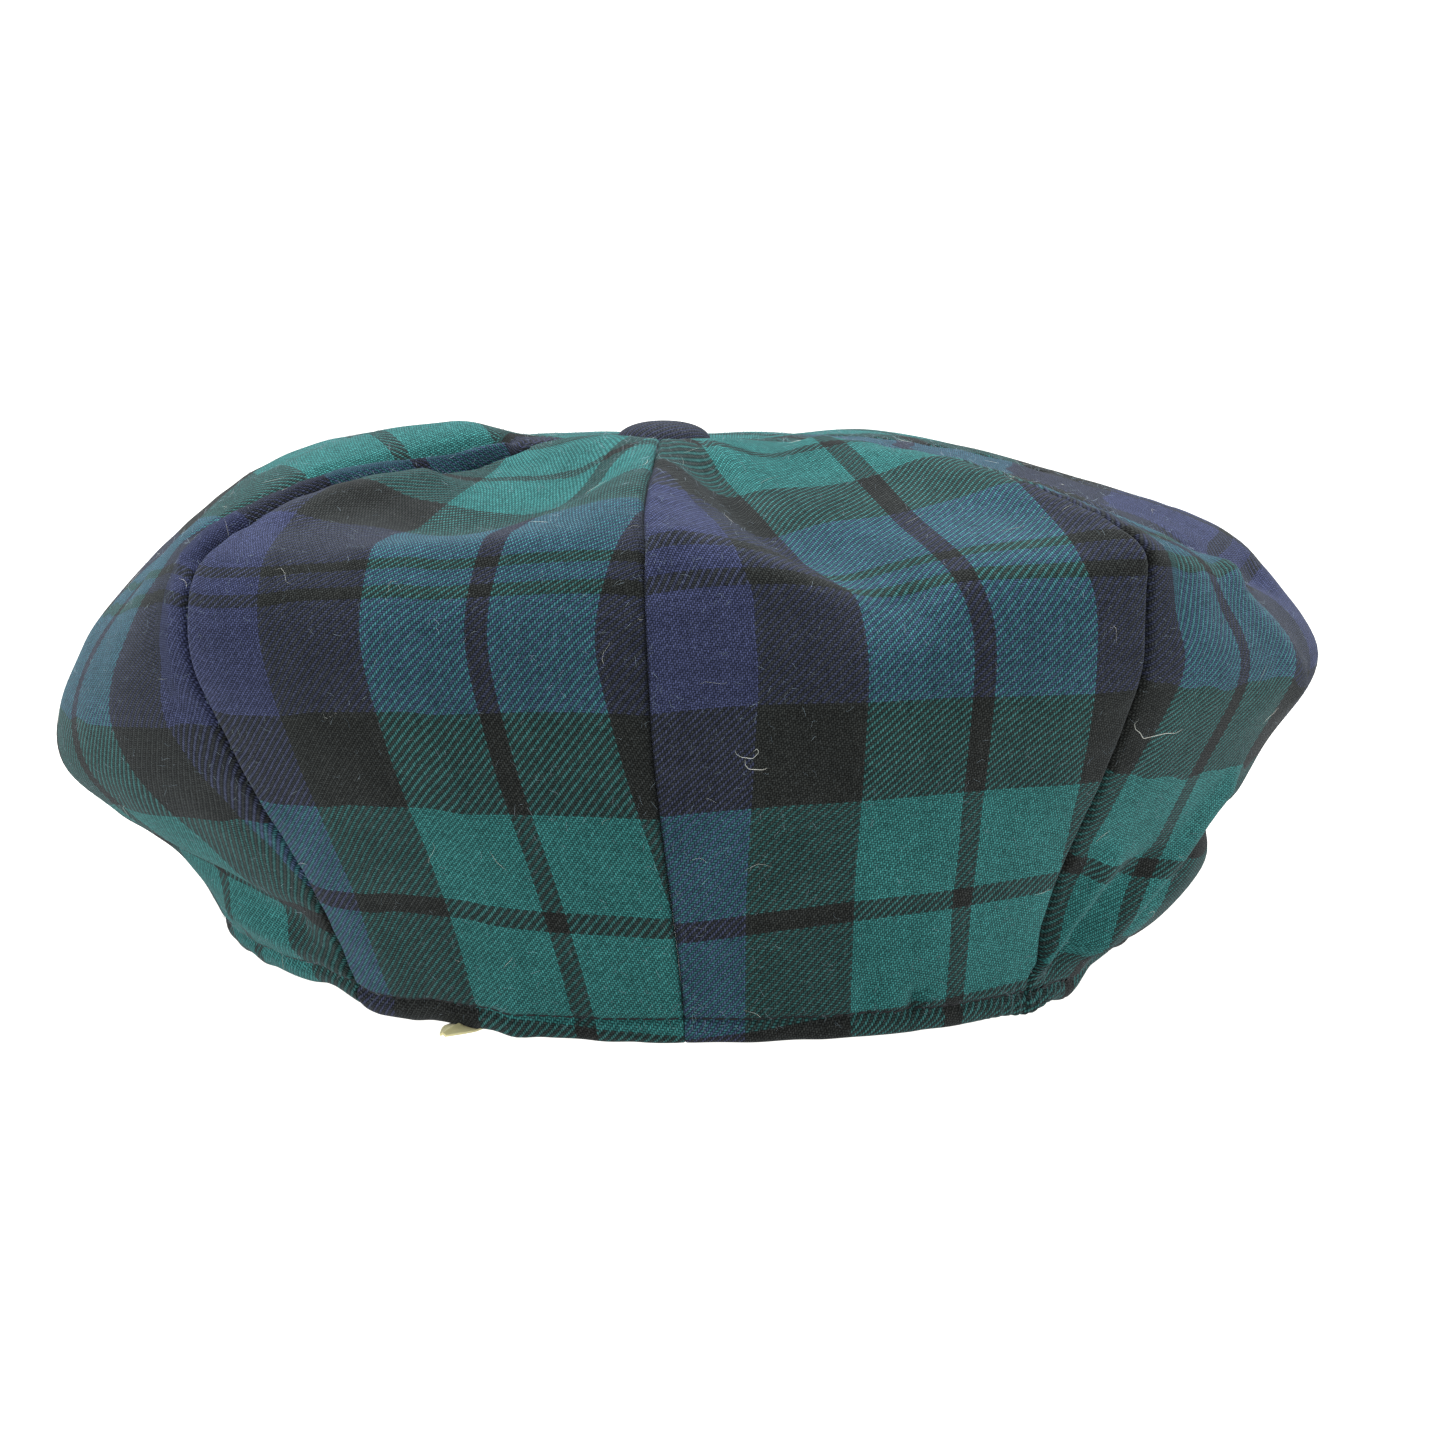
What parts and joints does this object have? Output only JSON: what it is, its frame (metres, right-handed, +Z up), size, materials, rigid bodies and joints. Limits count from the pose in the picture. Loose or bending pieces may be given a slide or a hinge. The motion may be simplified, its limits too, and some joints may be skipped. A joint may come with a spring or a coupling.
{
  "type": "flat cap",
  "caption": "Soft full-crowned cloth cap of sewn tartan wool panels gathered under a covered button, with a turned hem and a short stiff peak, standing on its hem.",
  "frame": {"origin": "centre of the head opening, on the surface the cap stands on", "axes": "+Z up, the peak points to -Y, the centre back seam faces +Y, +X is the wearer's left"},
  "size_m": [0.2581, 0.2518, 0.111],
  "materials": {
    "tartan_wool": "brushed wool twill in a navy, black and green tartan",
    "button_wool": "the same wool stretched over a button",
    "lining_cotton": "pale yellow smooth lining"
  },
  "bodies": {
    "root": {"panel_back_right": "tartan_wool", "panel_right_rear": "tartan_wool", "panel_right_fore": "tartan_wool", "panel_front_right": "tartan_wool", "panel_front_left": "tartan_wool", "panel_left_fore": "tartan_wool", "panel_left_rear": "tartan_wool", "panel_back_left": "tartan_wool", "button": "button_wool", "peak": "tartan_wool", "lining_corner": "lining_cotton"}
  },
  "joints": []
}
